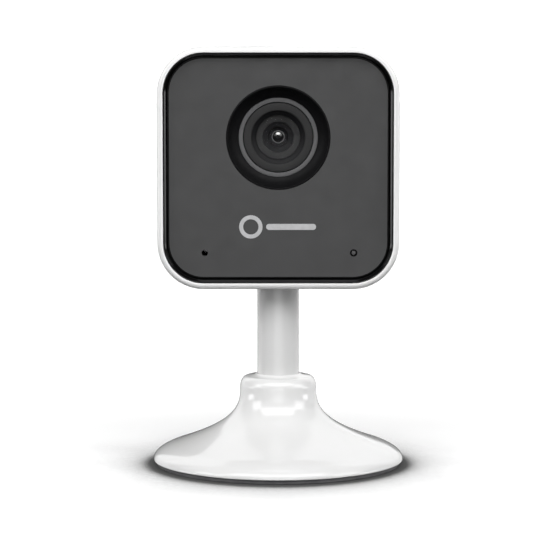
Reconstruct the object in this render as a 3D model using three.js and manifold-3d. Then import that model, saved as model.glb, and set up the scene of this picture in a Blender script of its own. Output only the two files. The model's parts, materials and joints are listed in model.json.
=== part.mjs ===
// A small indoor security camera: a square head on a round stem, on a flared round foot.
//
// Millimetres, +Z up. The camera looks along -Y. The origin is the centre of the foot's
// underside. The stem swivels in the foot about Z, the head tilts on the stem about X,
// and a reset button travels in the head's back along Y.

import * as THREE from 'three';
import { mergeVertices } from 'three/addons/utils/BufferGeometryUtils.js';
import Module from 'manifold-3d';

const wasm = await Module();
wasm.setup();

// ---------------------------------------------------------------- driving dimensions

const GAP = 0.1; // clearance between pieces that rest on each other
const FINE = 36; // sides of a large round piece
const MEDIUM = 20; // of a middle-sized one
const COARSE = 14; // of a small one

const TOTAL_HEIGHT = 105.6;
const HEAD_SIZE = 60; // square, seen from the front
const HEAD_DEPTH = 24;
const HEAD_CORNER = 11.5;
const WALL = 2;
const RIM_EDGE = 1; // rounding of the white rim's front edge
const BACK_EDGE = 4.5; // rounding round the head's back
const CAVITY_EDGE = 2.5; // rounding inside it

const PANEL_SIZE = 57;
const PANEL_CORNER = 10;
const PANEL_THICKNESS = 2;
const PANEL_FIT = 0.15; // gap round the panel, in the head's front opening
const BEVEL_WIDTH = 1;
const BEVEL_DEPTH = 2.2; // the panel's face lies this far behind its raised edge
const PANEL_LIP = 0.25; // width of the raised edge itself

const LENS_RISE = 7.5; // lens axis above the head's centre
const SIGNAL_DROP = 21.1; // microphone and status light below the head's centre
const MIC_X = -18.25;
const LIGHT_X = 18.75;
const MIC_RADIUS = 0.75;
const LIGHT_RADIUS = 0.9;

const STEM_RADIUS = 5.25;
const CORE_RADIUS = 3;
const FOOT_RADIUS = 31.65;
const FOOT_WALL = 1.8;
const PAD_THICKNESS = 1.1;
const COLLAR_RADIUS = 9.6;
const COLLAR_TOP = 23.2; // where it meets the stem
const SHOULDER_TOP = 22.5; // where the collar's outer rounding ends
const SHOULDER_WIDTH = 1.7;
const SHOULDER_DEPTH = 2.6;

const TILT_AXIS_RISE = 5.5; // tilt axis above the head's underside
const PIN_RADIUS = 1.2;
const SLOT_CLEARANCE = 0.4; // between the stem and the slot it tilts in
const SLOT_FRONT = -2.35; // centre of the slot's rounded front end
const BRACKET_SCREW_X = 8;
const BRACKET_SCREW_RISE = 10.5; // above the tilt axis

// ---------------------------------------------------------------- derived dimensions

const HEAD_CENTRE_Z = TOTAL_HEIGHT - HEAD_SIZE / 2;
const HEAD_BOTTOM_Z = TOTAL_HEIGHT - HEAD_SIZE;
const TILT_AXIS_Z = HEAD_BOTTOM_Z + TILT_AXIS_RISE;

// Depths in the head, measured along Y from the middle of its depth.
const FRONT = -HEAD_DEPTH / 2;
const BACK = HEAD_DEPTH / 2;
const INNER_BACK = BACK - WALL;
const PANEL_EDGE = FRONT + 0.2;
const PANEL_FACE = PANEL_EDGE + BEVEL_DEPTH;
const PANEL_BACK = PANEL_FACE + PANEL_THICKNESS;
const BOARD_FRONT = 4.2;
const BOARD_BACK = 5.4;

// ---------------------------------------------------------------- solids

// A closed three.js geometry as a solid that can be joined and cut.
function solid(geometry) {
  const bare = geometry.clone();
  bare.deleteAttribute('normal');
  bare.deleteAttribute('uv');
  const merged = mergeVertices(bare.index ? bare.toNonIndexed() : bare, 1e-4);
  const corners = merged.index.array;
  const triangles = [];
  for (let i = 0; i < corners.length; i += 3) {
    const [a, b, c] = corners.subarray(i, i + 3);
    if (a !== b && b !== c && c !== a) triangles.push(a, b, c);
  }
  const mesh = new wasm.Mesh({
    numProp: 3,
    vertProperties: new Float32Array(merged.attributes.position.array),
    triVerts: new Uint32Array(triangles),
  });
  return new wasm.Manifold(mesh);
}

function geometryOf(body) {
  const mesh = body.getMesh();
  const geometry = new THREE.BufferGeometry();
  geometry.setAttribute('position', new THREE.BufferAttribute(mesh.vertProperties, 3));
  geometry.setIndex(new THREE.BufferAttribute(mesh.triVerts, 1));
  geometry.computeVertexNormals();
  return geometry;
}

const join = (...bodies) => bodies.reduce((whole, body) => whole.add(body));
const cut = (body, ...tools) => tools.reduce((rest, tool) => rest.subtract(tool), body);

// A body turned about Z from a profile of [radius, height] points. The profile starts and
// ends on the axis, or is a loop, which is closed here.
function turned(profile, sides = FINE) {
  const points = profile.map(([radius, height]) => new THREE.Vector2(radius, height));
  if (THREE.ShapeUtils.area(points) < 0) points.reverse();
  if (points[0].x > 0) points.push(points[0].clone());
  return solid(new THREE.LatheGeometry(points, sides).rotateX(Math.PI / 2));
}

// The same, turned about Y, for [radius, depth] points.
function turnedAlongY(profile, sides = FINE) {
  const points = profile.map(([radius, depth]) => new THREE.Vector2(radius, depth));
  if (THREE.ShapeUtils.area(points) < 0) points.reverse();
  if (points[0].x > 0) points.push(points[0].clone());
  return solid(new THREE.LatheGeometry(points, sides));
}

// A ring about Y between two depths.
function ringAlongY(inner, outer, near, far, sides = FINE) {
  return turnedAlongY([[inner, near], [outer, near], [outer, far], [inner, far]], sides);
}

// A round bar along X, Y or Z between two places on that axis, through [x, y, z].
function bar(axis, radius, from, to, [x, y, z] = [0, 0, 0], sides = COARSE) {
  const length = to - from;
  const geometry = new THREE.CylinderGeometry(radius, radius, length, sides);
  geometry.translate(0, length / 2, 0);
  if (axis === 'x') geometry.rotateZ(-Math.PI / 2);
  if (axis === 'z') geometry.rotateX(Math.PI / 2);
  const start = { x: [from, 0, 0], y: [0, from, 0], z: [0, 0, from] }[axis];
  geometry.translate(start[0] + x, start[1] + y, start[2] + z);
  return solid(geometry);
}

// A block between two opposite corners.
function block([x0, y0, z0], [x1, y1, z1]) {
  const geometry = new THREE.BoxGeometry(x1 - x0, y1 - y0, z1 - z0);
  geometry.translate((x0 + x1) / 2, (y0 + y1) / 2, (z0 + z1) / 2);
  return solid(geometry);
}

// A rectangle with rounded corners, centred on [x, y].
function roundedRectangle(width, height, corner, [x, y] = [0, 0]) {
  const right = x + width / 2;
  const top = y + height / 2;
  const left = x - width / 2;
  const bottom = y - height / 2;
  const shape = new THREE.Shape();
  shape.moveTo(right, bottom + corner);
  shape.absarc(right - corner, top - corner, corner, 0, Math.PI / 2);
  shape.absarc(left + corner, top - corner, corner, Math.PI / 2, Math.PI);
  shape.absarc(left + corner, bottom + corner, corner, Math.PI, Math.PI * 1.5);
  shape.absarc(right - corner, bottom + corner, corner, Math.PI * 1.5, Math.PI * 2);
  return shape;
}

// A shape drawn in X and Z, as a plate between two depths. An edge of { width, depth,
// steps } trims both of the plate's rims: one step is a chamfer, more make a rounding.
function plate(shape, near, far, edge = null, curveSegments = 5) {
  const bevel = edge ?? { width: 0, depth: 0, steps: 1 };
  const geometry = new THREE.ExtrudeGeometry(shape, {
    curveSegments,
    depth: far - near - 2 * bevel.depth,
    bevelEnabled: edge !== null,
    bevelSize: bevel.width,
    bevelOffset: -bevel.width,
    bevelThickness: bevel.depth,
    bevelSegments: bevel.steps,
  });
  geometry.rotateX(Math.PI / 2).translate(0, far - bevel.depth, 0);
  return solid(geometry);
}

// ---------------------------------------------------------------- materials

const finish = (color, roughness, metalness = 0) => new THREE.MeshStandardMaterial({
  color, roughness, metalness,
});

const WHITE_GLOSS = finish(0xf4f4f2, 0.18);
const PANEL_GREY = finish(0x4a4b4d, 0.5);
const BLACK_PLASTIC = finish(0x101113, 0.4);
const RING_GREY = finish(0x595a5c, 0.45);
const BARREL_BLACK = finish(0x26272a, 0.5);
const LENS_GLASS = finish(0x1a1f2c, 0.03);
const FILTER_GLASS = finish(0x7fb3c8, 0.05);
const PAD_RUBBER = finish(0x6f7072, 0.85);
const SEAL_RUBBER = finish(0x1c1c1d, 0.9);
const STEEL = finish(0x9a9b9c, 0.35, 1);
const ZINC_STEEL = finish(0xb4b6b8, 0.3, 1);
const ALUMINIUM = finish(0xb9bcc0, 0.4, 1);
const BOARD_GREEN = finish(0x1f5a3a, 0.5);
const CHIP_BLACK = finish(0x18191a, 0.6);
const ACETAL = finish(0xe6e5df, 0.45);
const LIGHT_PIPE = finish(0x9fa3a6, 0.15);

function piece(group, name, body, material) {
  const mesh = new THREE.Mesh(body.isBufferGeometry ? body : geometryOf(body), material);
  mesh.name = name;
  group.add(mesh);
  return mesh;
}

// ---------------------------------------------------------------- screws

// A pan-head screw whose head rests at height 0 and whose shank runs down -Z.
function screw(radius, length) {
  const head = radius * 1.9;
  return turned([
    [0, -length], [radius * 0.6, -length], [radius, -length + radius], [radius, 0],
    [head, 0], [head, radius * 0.6], [head * 0.7, radius * 1.1], [0, radius * 1.1],
  ], 12);
}

const screwUp = (radius, length) => geometryOf(screw(radius, length)).rotateX(Math.PI);
const screwForward = (radius, length) => geometryOf(screw(radius, length)).rotateX(-Math.PI / 2);

// ---------------------------------------------------------------- foot

const foot = new THREE.Group();

const FLARE_START = [COLLAR_RADIUS, SHOULDER_TOP - SHOULDER_DEPTH];
const FLARE_END = [26.4, 5.4];
const flare = new THREE.CubicBezierCurve(
  new THREE.Vector2(...FLARE_START),
  new THREE.Vector2(COLLAR_RADIUS, 15),
  new THREE.Vector2(10, 11),
  new THREE.Vector2(...FLARE_END),
);
const rim = new THREE.CubicBezierCurve(
  new THREE.Vector2(...FLARE_END),
  new THREE.Vector2(31.4, 3.7),
  new THREE.Vector2(FOOT_RADIUS, 2.1),
  new THREE.Vector2(FOOT_RADIUS, PAD_THICKNESS + GAP),
);
const pairs = (curve, steps) => curve.getPoints(steps).map((point) => [point.x, point.y]);

const FLARE_STEPS = 8;
const RIM_STEPS = 5;
const BORE_RADIUS = CORE_RADIUS + 0.1;
const STEM_SEAT = COLLAR_TOP - 4.6; // step in the collar that carries the stem
const HUB_RADIUS = 5.4; // tube under that step, in which the stem's core turns
const HUB_BOTTOM = 9;

const POST_REACH = 22; // distance of the cover's screw posts from the axis
const POST_RADIUS = 2.2;
const POST_TOP = 6;
const POST_BORE = 0.9;
const COVER_TOP = PAD_THICKNESS + 1.6;
const HEAD_SEAT = COVER_TOP - 0.45; // roof of the cover's pockets for the screw heads
const COVER_SCREW_LENGTH = 2.1;

// The [x, y] places of the cover's screws.
const SCREW_PLACES = [90, 210, 330].map((degrees) => {
  const turn = THREE.MathUtils.degToRad(degrees);
  return [Math.cos(turn) * POST_REACH, Math.sin(turn) * POST_REACH];
});

function footShell() {
  const shoulder = new THREE.EllipseCurve(
    COLLAR_RADIUS - SHOULDER_WIDTH, SHOULDER_TOP - SHOULDER_DEPTH,
    SHOULDER_WIDTH, SHOULDER_DEPTH, 0, Math.PI / 2,
  );
  const outside = [
    [STEM_RADIUS + GAP, COLLAR_TOP],
    [STEM_RADIUS + 0.6, COLLAR_TOP - 0.4],
    ...pairs(shoulder, 4).reverse(),
    ...pairs(flare, FLARE_STEPS).slice(1),
    ...pairs(rim, RIM_STEPS).slice(1),
  ];
  const underFlare = pairs(flare, FLARE_STEPS).slice(3, 7).reverse();
  const inside = [
    [FOOT_RADIUS - FOOT_WALL, PAD_THICKNESS + GAP],
    [FOOT_RADIUS - FOOT_WALL, COVER_TOP + GAP],
    [FLARE_END[0], FLARE_END[1] - FOOT_WALL],
    ...underFlare.map(([radius, height]) => [radius - FOOT_WALL / 3, height - FOOT_WALL]),
    [COLLAR_RADIUS - FOOT_WALL, STEM_SEAT - 2 * FOOT_WALL],
    [COLLAR_RADIUS - FOOT_WALL, STEM_SEAT - FOOT_WALL],
    [HUB_RADIUS, STEM_SEAT - FOOT_WALL],
    [HUB_RADIUS, HUB_BOTTOM],
    [BORE_RADIUS, HUB_BOTTOM],
    [BORE_RADIUS, STEM_SEAT],
    [STEM_RADIUS + GAP, STEM_SEAT],
  ];
  const envelope = turned([
    [0, 0], [FOOT_RADIUS, 0], ...pairs(rim, RIM_STEPS).reverse(),
    ...pairs(flare, FLARE_STEPS).reverse().slice(1), [0, FLARE_START[1]],
  ]);
  const posts = SCREW_PLACES.map(([x, y]) => (
    bar('z', POST_RADIUS, COVER_TOP + GAP, POST_TOP, [x, y, 0]).intersect(envelope)
  ));
  const bores = SCREW_PLACES.map(([x, y]) => (
    bar('z', POST_BORE, 0, HEAD_SEAT + COVER_SCREW_LENGTH + GAP, [x, y, 0], 12)
  ));
  return cut(join(turned([...outside, ...inside]), ...posts), ...bores);
}

piece(foot, 'foot_shell', footShell(), WHITE_GLOSS);

function footCover() {
  const radius = FOOT_RADIUS - FOOT_WALL - GAP;
  const disc = bar('z', radius, PAD_THICKNESS + GAP, COVER_TOP, [0, 0, 0], FINE);
  const holes = SCREW_PLACES.flatMap(([x, y]) => [
    bar('z', 1.1, 0, COVER_TOP + 1, [x, y, 0], 12),
    bar('z', 2, 0, HEAD_SEAT, [x, y, 0]),
  ]);
  return cut(disc, ...holes);
}

piece(foot, 'foot_cover', footCover(), BLACK_PLASTIC);
piece(foot, 'foot_pad', turned([
  [0, 0], [FOOT_RADIUS - 1.2, 0], [FOOT_RADIUS - 0.8, 0.4], [FOOT_RADIUS - 0.8, PAD_THICKNESS],
  [0, PAD_THICKNESS],
]), PAD_RUBBER);

// A steel ring that lies on the cover, with a recess round each screw post.
function ballast() {
  const ring = turned([
    [9, COVER_TOP + GAP], [22.5, COVER_TOP + GAP], [22.5, 3.6], [19, 4.4], [14, 5.9],
    [10.5, 7.6], [9, 7.6],
  ]);
  const recesses = SCREW_PLACES.map(([x, y]) => bar('z', POST_RADIUS + 0.5, 0, 9, [x, y, 0]));
  return cut(ring, ...recesses);
}

piece(foot, 'ballast_weight', ballast(), STEEL);

SCREW_PLACES.forEach(([x, y], index) => {
  const body = screwUp(0.85, COVER_SCREW_LENGTH);
  const fastener = piece(foot, `cover_screw_${index + 1}`, body, ZINC_STEEL);
  fastener.position.set(x, y, HEAD_SEAT - GAP);
});

// ---------------------------------------------------------------- stem

const stem = new THREE.Group();

const SLEEVE_TOP = TILT_AXIS_Z - 4.2;
const SEAT_WASHER = 0.4;
const SLEEVE_BOTTOM = STEM_SEAT + SEAT_WASHER + 2 * GAP;
const CORE_BOTTOM = 5.2;
const CLIP_GROOVE = 6.4; // height of the retaining clip's groove
const CLIP_THICKNESS = 0.7;
const GROOVE_RADIUS = 2.4;
const TONGUE_HALF = 2.3; // half the thickness of the flat tongue at the top
const KNUCKLE_RADIUS = 3.4;

piece(stem, 'stem_sleeve', turned([
  [CORE_RADIUS + GAP, SLEEVE_BOTTOM], [STEM_RADIUS, SLEEVE_BOTTOM],
  [STEM_RADIUS, SLEEVE_TOP - 0.6], [STEM_RADIUS - 0.6, SLEEVE_TOP],
  [CORE_RADIUS + GAP, SLEEVE_TOP],
]), WHITE_GLOSS);

function stemCore() {
  const grooveTop = CLIP_GROOVE + CLIP_THICKNESS + 2 * GAP;
  const rod = turned([
    [0, CORE_BOTTOM], [CORE_RADIUS - 0.4, CORE_BOTTOM], [CORE_RADIUS, CORE_BOTTOM + 0.4],
    [CORE_RADIUS, CLIP_GROOVE], [GROOVE_RADIUS, CLIP_GROOVE], [GROOVE_RADIUS, grooveTop],
    [CORE_RADIUS, grooveTop], [CORE_RADIUS, SLEEVE_TOP - 0.4], [0, SLEEVE_TOP - 0.4],
  ], MEDIUM);
  const tongue = join(
    block([-TONGUE_HALF, -1.8, SLEEVE_TOP - 1], [TONGUE_HALF, 1.8, TILT_AXIS_Z]),
    bar('x', KNUCKLE_RADIUS, -TONGUE_HALF, TONGUE_HALF, [0, 0, TILT_AXIS_Z], MEDIUM),
  );
  const pinHole = bar('x', PIN_RADIUS + 0.05, -5, 5, [0, 0, TILT_AXIS_Z]);
  return cut(join(rod, tongue), pinHole);
}

piece(stem, 'stem_core', stemCore(), STEEL);

// A flat ring about Z.
const washer = (inner, outer, bottom, thickness) => turned([
  [inner, bottom], [outer, bottom], [outer, bottom + thickness], [inner, bottom + thickness],
], MEDIUM);

const seatWasher = washer(BORE_RADIUS, STEM_RADIUS, STEM_SEAT + GAP, SEAT_WASHER);
const springWasher = washer(BORE_RADIUS, 5, CLIP_GROOVE + CLIP_THICKNESS + 3 * GAP, 1.4);
piece(stem, 'seat_washer', seatWasher, ACETAL);
piece(stem, 'spring_washer', springWasher, ZINC_STEEL);

function retainingClip() {
  const bottom = CLIP_GROOVE + GAP;
  const ring = washer(GROOVE_RADIUS + 0.05, 4.8, bottom, CLIP_THICKNESS);
  return cut(ring, block([-1.4, -6, bottom - 1], [1.4, 0, bottom + 2]));
}

piece(stem, 'retaining_clip', retainingClip(), ZINC_STEEL);

// ---------------------------------------------------------------- head: shell

const head = new THREE.Group();
head.position.set(0, 0, HEAD_CENTRE_Z);

// Heights in the head are measured from its centre.
const TILT_Z = TILT_AXIS_Z - HEAD_CENTRE_Z;
const HEAD_HALF = HEAD_SIZE / 2;
const CAVITY_SIZE = HEAD_SIZE - 2 * WALL;

const INLET_X = 15;
const INLET_Z = -17;
const BUTTON_X = -15;
const BUTTON_Z = -17;
const BUTTON_RADIUS = 1.5;
const BUTTON_TRAVEL = 0.4;

// The tilt bracket's plate, and the [x, z] places of the screws that hold it.
const BRACKET_NEAR = 8.7;
const BRACKET_FAR = 9.8;
const BRACKET_SCREW_Z = TILT_Z + BRACKET_SCREW_RISE;
const BRACKET_SCREWS = [[-BRACKET_SCREW_X, BRACKET_SCREW_Z], [BRACKET_SCREW_X, BRACKET_SCREW_Z]];

const SPEAKER_Z = 12;
const GRILLE_ROWS = 3;
const GRILLE_COLUMNS = 5;
const GRILLE_PITCH = 3;
const GRILLE_HOLE = 0.6;

// The hooks that hold the panel: one at the top and one at each side, turned about Y from
// the top one. Each has a barb that snaps into a catch in the shell's wall.
const HOOK_TURNS = [0, Math.PI / 2, -Math.PI / 2];
const HOOK_REACH = CAVITY_SIZE / 2 - 0.3;
const HOOK_HALF_WIDTH = 3;
const HOOK_THICKNESS = 0.9;
const BARB_NEAR = -3.4; // depths between which the barb stands out
const BARB_FAR = -2.4;

function barb(turn, clearance) {
  const width = 2 * (HOOK_HALF_WIDTH + clearance);
  const depth = BARB_FAR - BARB_NEAR + 2 * clearance;
  const body = new THREE.BoxGeometry(width, depth, HOOK_THICKNESS + clearance);
  body.translate(0, (BARB_NEAR + BARB_FAR) / 2, HOOK_REACH + 0.25);
  return solid(body.rotateY(turn));
}

// The slot that the stem swings in: through the underside, and up into the back.
function tiltSlot() {
  const half = STEM_RADIUS + SLOT_CLEARANCE;
  const low = -HEAD_HALF - 1;
  const high = -HEAD_HALF + 5;
  const floor = block([-half, SLOT_FRONT, low], [half, BACK + 1, high]);
  const frontEnd = bar('z', half, low, high, [0, SLOT_FRONT, 0], MEDIUM);
  const backEnd = bar('y', half, INNER_BACK - 2, BACK + 1, [0, 0, -HEAD_HALF + 0.6], MEDIUM);
  return join(floor, frontEnd, backEnd);
}

function grille() {
  const holes = [];
  for (let row = 0; row < GRILLE_ROWS; row += 1) {
    for (let column = 0; column < GRILLE_COLUMNS; column += 1) {
      const x = (column - (GRILLE_COLUMNS - 1) / 2) * GRILLE_PITCH;
      const z = SPEAKER_Z + (row - (GRILLE_ROWS - 1) / 2) * GRILLE_PITCH;
      holes.push(bar('y', GRILLE_HOLE, INNER_BACK - 1, BACK + 1, [x, 0, z], 8));
    }
  }
  return holes;
}

function rearShell() {
  const outline = roundedRectangle(HEAD_SIZE, HEAD_SIZE, HEAD_CORNER);
  const roundedFront = { width: RIM_EDGE, depth: RIM_EDGE, steps: 2 };
  const roundedBack = { width: BACK_EDGE, depth: BACK_EDGE, steps: 4 };
  const outside = plate(outline, FRONT, BACK, roundedFront).intersect(
    plate(outline, FRONT - 2 * BACK_EDGE, BACK, roundedBack),
  );
  const cavity = plate(
    roundedRectangle(CAVITY_SIZE, CAVITY_SIZE, HEAD_CORNER - WALL),
    FRONT - 2 * CAVITY_EDGE, INNER_BACK, { width: CAVITY_EDGE, depth: CAVITY_EDGE, steps: 2 },
  );
  const openingSize = PANEL_SIZE + 2 * PANEL_FIT;
  const opening = plate(
    roundedRectangle(openingSize, openingSize, PANEL_CORNER + PANEL_FIT),
    FRONT - 1, PANEL_BACK + GAP,
  );
  const bracketPosts = BRACKET_SCREWS.map(([x, z]) => (
    bar('y', 2, BRACKET_FAR + GAP, INNER_BACK + 0.5, [x, 0, z])
  ));
  const screwHoles = BRACKET_SCREWS.map(([x, z]) => (
    bar('y', 0.85, BRACKET_NEAR, BACK - 0.6, [x, 0, z], 12)
  ));
  const inletShape = roundedRectangle(8.6, 3.6, 1.2, [INLET_X, INLET_Z]);
  const inletHole = plate(inletShape, INNER_BACK - 1, BACK + 1, null, 3);
  const buttonHole = bar(
    'y', BUTTON_RADIUS + 0.15, INNER_BACK - 1, BACK + 1, [BUTTON_X, 0, BUTTON_Z],
  );
  const catches = HOOK_TURNS.map((turn) => barb(turn, 0.15));
  return cut(
    join(cut(outside, cavity, opening), ...bracketPosts),
    ...screwHoles, inletHole, buttonHole, ...grille(), ...catches, tiltSlot(),
  );
}

piece(head, 'rear_shell', rearShell(), WHITE_GLOSS);

// ---------------------------------------------------------------- head: front panel

const RECESS_RADIUS = 12.85; // mouth of the cone that the lens sits in
const BOSS_RADIUS = 2;
const BOSS_BORE = 0.75;
const BOSS_X = 21;
const BOSS_TOP_Z = 21.5;
const BOSS_LOW_Z = -8.5;

// The [x, z] places of the board's screws.
const BOSS_PLACES = [
  [-BOSS_X, BOSS_TOP_Z], [BOSS_X, BOSS_TOP_Z], [-BOSS_X, BOSS_LOW_Z], [BOSS_X, BOSS_LOW_Z],
];

function frontPanel() {
  const slab = plate(
    roundedRectangle(PANEL_SIZE, PANEL_SIZE, PANEL_CORNER), PANEL_EDGE, PANEL_BACK,
  );
  const pocketSize = PANEL_SIZE - 2 * PANEL_LIP;
  const pocket = plate(
    roundedRectangle(pocketSize, pocketSize, PANEL_CORNER - PANEL_LIP),
    PANEL_EDGE - BEVEL_DEPTH - 1, PANEL_FACE,
    { width: BEVEL_WIDTH, depth: BEVEL_DEPTH, steps: 1 },
  );
  const through = (radius, x, z, sides) => (
    bar('y', radius, FRONT, PANEL_BACK + 1, [x, 0, z], sides)
  );
  const holes = [
    through(RECESS_RADIUS + GAP, 0, LENS_RISE, FINE),
    through(MIC_RADIUS, MIC_X, -SIGNAL_DROP, 16),
    through(LIGHT_RADIUS, LIGHT_X, -SIGNAL_DROP, 16),
  ];
  const bosses = BOSS_PLACES.map(([x, z]) => (
    bar('y', BOSS_RADIUS, PANEL_BACK - 0.5, BOARD_FRONT - GAP, [x, 0, z], 16)
  ));
  const bossBores = BOSS_PLACES.map(([x, z]) => (
    bar('y', BOSS_BORE, -1, BOARD_FRONT + 1, [x, 0, z], 12)
  ));
  const armLength = BARB_FAR - PANEL_BACK + 0.5;
  const hooks = HOOK_TURNS.map((turn) => {
    const arm = new THREE.BoxGeometry(2 * HOOK_HALF_WIDTH, armLength, HOOK_THICKNESS);
    arm.translate(0, BARB_FAR - armLength / 2, HOOK_REACH - 0.55);
    return join(solid(arm.rotateY(turn)), barb(turn, 0));
  });
  return cut(join(cut(slab, pocket), ...bosses, ...hooks), ...holes, ...bossBores);
}

piece(head, 'front_panel', frontPanel(), PANEL_GREY);

// ---------------------------------------------------------------- head: lens

const lens = new THREE.Group();
lens.position.set(0, 0, LENS_RISE);
head.add(lens);

const RING_OUTER = 9.75;
const RING_INNER = 8.7;
const BARREL_FRONT = -7;
const RING_FRONT = -7.1;
const CONE_FOOT = -6.6; // depth of the cone's narrow end
const BARREL_RADIUS = RING_INNER - GAP;
const THREAD_RADIUS = 6.9;
const THREAD_START = -3.2;
const BARREL_REAR = 2.2;

// The recess: a black cone from the panel's face down to the lens ring, with a flange
// that is bonded to the back of the panel.
piece(lens, 'lens_cone', turnedAlongY([
  [RECESS_RADIUS, PANEL_FACE + 0.05], [RECESS_RADIUS, PANEL_BACK + GAP],
  [RECESS_RADIUS + 1.6, PANEL_BACK + GAP], [RECESS_RADIUS + 1.6, PANEL_BACK + 1],
  [RING_OUTER + GAP, PANEL_BACK + 1], [RING_OUTER + GAP, CONE_FOOT - 0.4],
  [RECESS_RADIUS - 0.35, PANEL_FACE + 0.05],
]), BLACK_PLASTIC);

piece(lens, 'lens_ring', ringAlongY(RING_INNER, RING_OUTER, RING_FRONT, -4.9), RING_GREY);

piece(lens, 'lens_barrel', turnedAlongY([
  [6.7, BARREL_FRONT], [BARREL_RADIUS, BARREL_FRONT], [BARREL_RADIUS, THREAD_START],
  [THREAD_RADIUS, THREAD_START], [THREAD_RADIUS, BARREL_REAR], [3.6, BARREL_REAR],
  [3.6, 1.4], [5, 1.4], [5, -3.3], [5.9, -3.3], [5.9, -5.7], [5.4, -5.7],
]), BARREL_BLACK);

// A lens element about Y between two depths, with the bulge of each of its faces.
function lensElement(radius, near, far, nearBulge, farBulge) {
  const steps = 3;
  const points = [];
  for (let i = 0; i <= steps; i += 1) {
    const r = (radius * i) / steps;
    points.push([r, near - nearBulge * (1 - (r / radius) ** 2)]);
  }
  for (let i = steps; i >= 0; i -= 1) {
    const r = (radius * i) / steps;
    points.push([r, far + farBulge * (1 - (r / radius) ** 2)]);
  }
  return turnedAlongY(points, MEDIUM);
}

piece(lens, 'front_lens', lensElement(5.3, -5.6, -4.4, 1.2, -0.4), LENS_GLASS);
piece(lens, 'aperture_ring', ringAlongY(1.5, 4.9, -3.2, -2.9, MEDIUM), BLACK_PLASTIC);
piece(lens, 'middle_lens', lensElement(4.8, -2.4, -1.5, 0.4, 0.3), LENS_GLASS);
piece(lens, 'lens_spacer', ringAlongY(4, 4.9, -1.4, -0.6, MEDIUM), BLACK_PLASTIC);
piece(lens, 'rear_lens', lensElement(4.8, -0.4, 0.9, 0.1, 0.4), LENS_GLASS);
piece(lens, 'lens_retainer', ringAlongY(5.35, 5.85, -4.5, -3.4, MEDIUM), BARREL_BLACK);

const HOLDER_HALF = 8.2;
const HOLDER_FRONT = -2.6;

function lensHolder() {
  const rear = BOARD_FRONT - GAP;
  const tower = join(
    bar('y', HOLDER_HALF, HOLDER_FRONT, rear, [0, 0, 0], MEDIUM),
    block([-HOLDER_HALF, 1.5, -HOLDER_HALF], [HOLDER_HALF, rear, HOLDER_HALF]),
  );
  const thread = bar(
    'y', THREAD_RADIUS + GAP, HOLDER_FRONT - 1, BARREL_REAR + GAP, [0, 0, 0], MEDIUM,
  );
  const well = block([-4.4, 0, -4.4], [4.4, BOARD_FRONT + 1, 4.4]);
  return cut(tower, thread, well);
}

piece(lens, 'lens_holder', lensHolder(), BARREL_BLACK);
piece(lens, 'infrared_filter', block([-4, 2.5, -4], [4, 2.8, 4]), FILTER_GLASS);
piece(lens, 'image_sensor', block([-3.4, 3.1, -3.2], [3.4, BOARD_FRONT - GAP, 3.2]), CHIP_BLACK);

// Four infrared lamps on a ring-shaped board, behind the cone's flange.
const LAMP_REACH = 11;
const LAMP_FRONT = -5.9;
const LAMP_BOARD_FRONT = -3.2;
const LAMP_BOARD_BACK = -2.4;

piece(lens, 'lamp_board', ringAlongY(
  BARREL_RADIUS + 0.4, RECESS_RADIUS + 1, LAMP_BOARD_FRONT, LAMP_BOARD_BACK, MEDIUM,
), BOARD_GREEN);

[45, 135, 225, 315].forEach((degrees, index) => {
  const turn = THREE.MathUtils.degToRad(degrees);
  const x = Math.cos(turn) * LAMP_REACH;
  const z = Math.sin(turn) * LAMP_REACH;
  const lamp = bar('y', 1.1, LAMP_FRONT, LAMP_BOARD_FRONT - GAP, [x, 0, z], 12);
  piece(lens, `infrared_lamp_${index + 1}`, lamp, LIGHT_PIPE);
});

// ---------------------------------------------------------------- head: electronics

function mainBoard() {
  const outline = roundedRectangle(50, 51.5, 6);
  const sheet = plate(outline, BOARD_FRONT, BOARD_BACK, null, 4);
  const hingeNotch = block([-10.5, 0, -30], [10.5, 9, -9]);
  const holes = BOSS_PLACES.map(([x, z]) => bar('y', 1, 0, 9, [x, 0, z], 12));
  return cut(sheet, hingeNotch, ...holes);
}

piece(head, 'main_board', mainBoard(), BOARD_GREEN);

BOSS_PLACES.forEach(([x, z], index) => {
  const fastener = piece(head, `board_screw_${index + 1}`, screwForward(0.7, 4), ZINC_STEEL);
  fastener.position.set(x, BOARD_BACK + GAP, z);
});

// A block that stands on the board's front face, between two [x, z] corners.
function onBoard([x0, z0], [x1, z1], height) {
  const rear = BOARD_FRONT - GAP;
  return block([x0, rear - height, z0], [x1, rear, z1]);
}

const CHIP_HEIGHT = 1.1;
const SHIELD_HEIGHT = 2.2;
const SHIELD_WALL = 0.3;
const SHIELD_LOW = [-24, -7];
const SHIELD_HIGH = [-11, 5];

// A can that is open towards the board, cut away round the nearest boss.
function shieldCan() {
  const [x0, z0] = SHIELD_LOW.map((low) => low + SHIELD_WALL);
  const [x1, z1] = SHIELD_HIGH.map((high) => high - SHIELD_WALL);
  const hollowFront = BOARD_FRONT - GAP - SHIELD_HEIGHT + SHIELD_WALL;
  return cut(
    onBoard(SHIELD_LOW, SHIELD_HIGH, SHIELD_HEIGHT),
    block([x0, hollowFront, z0], [x1, BOARD_FRONT, z1]),
    bar('y', BOSS_RADIUS + 0.4, 1, 9, [-BOSS_X, 0, BOSS_LOW_Z], 16),
  );
}

piece(head, 'radio_shield', shieldCan(), ZINC_STEEL);
piece(head, 'radio_chip', onBoard([-19.5, -3], [-14, 2.5], CHIP_HEIGHT), CHIP_BLACK);
piece(head, 'processor', onBoard([12, -5], [19, 2], CHIP_HEIGHT), CHIP_BLACK);
piece(head, 'antenna', onBoard([-10, 19], [10, 22.5], 0.6), ACETAL);

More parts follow.
